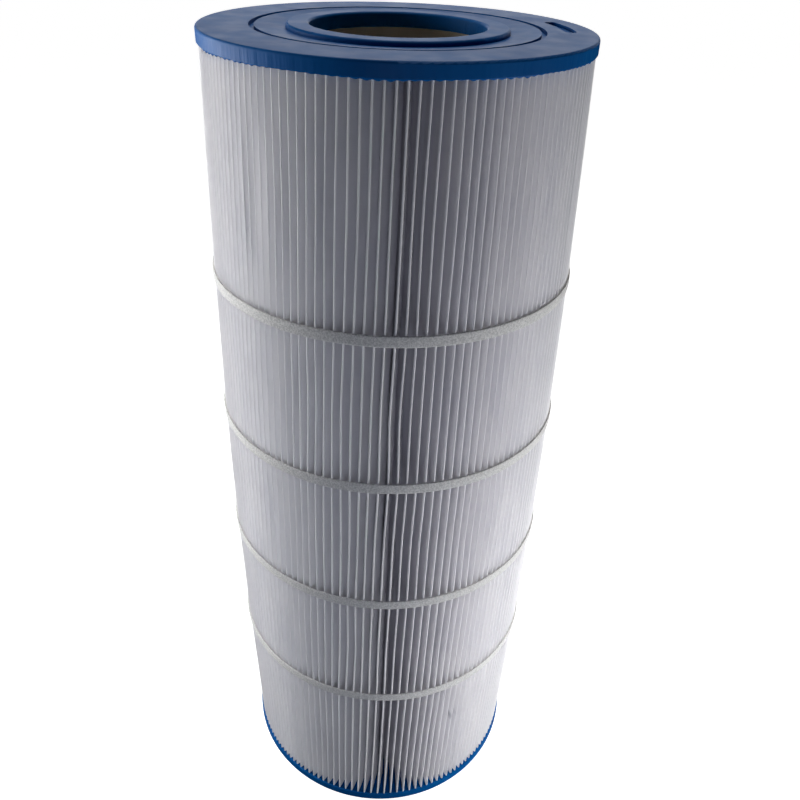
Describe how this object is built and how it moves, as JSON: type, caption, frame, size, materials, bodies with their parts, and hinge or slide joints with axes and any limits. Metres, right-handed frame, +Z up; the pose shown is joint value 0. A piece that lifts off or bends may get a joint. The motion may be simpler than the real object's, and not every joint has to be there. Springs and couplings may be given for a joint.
{
  "type": "pleated filter cartridge",
  "caption": "Tall cylindrical pleated filter cartridge with blue cast end caps, an open hole right through, a perforated inner core and bands round the pleats.",
  "frame": {"origin": "centre of the bottom cap's underside, on the cartridge's axis", "axes": "+Z up along the cartridge's axis towards the top cap; +X towards the shallow blank mark in the top cap's rim; the side in view faces -Y"},
  "size_m": [0.227, 0.227, 0.5905],
  "materials": {
    "cap_urethane": "smooth cast urethane, satin",
    "filter_media": "thermally bonded spun polyester",
    "core_plastic": "satin moulded plastic",
    "strap_felt": "dense needled polyester band",
    "hot_melt": "translucent hot-melt glue"
  },
  "bodies": {
    "root": {"top_cap": "cap_urethane", "bottom_cap": "cap_urethane", "pleated_media": "filter_media", "media_seam": "filter_media", "core_section_1": "core_plastic", "core_section_2": "core_plastic", "core_section_3": "core_plastic", "core_section_4": "core_plastic", "strap_1": "strap_felt", "strap_2": "strap_felt", "strap_3": "strap_felt", "strap_4": "strap_felt", "strap_glue_1": "hot_melt", "strap_glue_2": "hot_melt", "strap_glue_3": "hot_melt", "strap_glue_4": "hot_melt"}
  },
  "joints": []
}
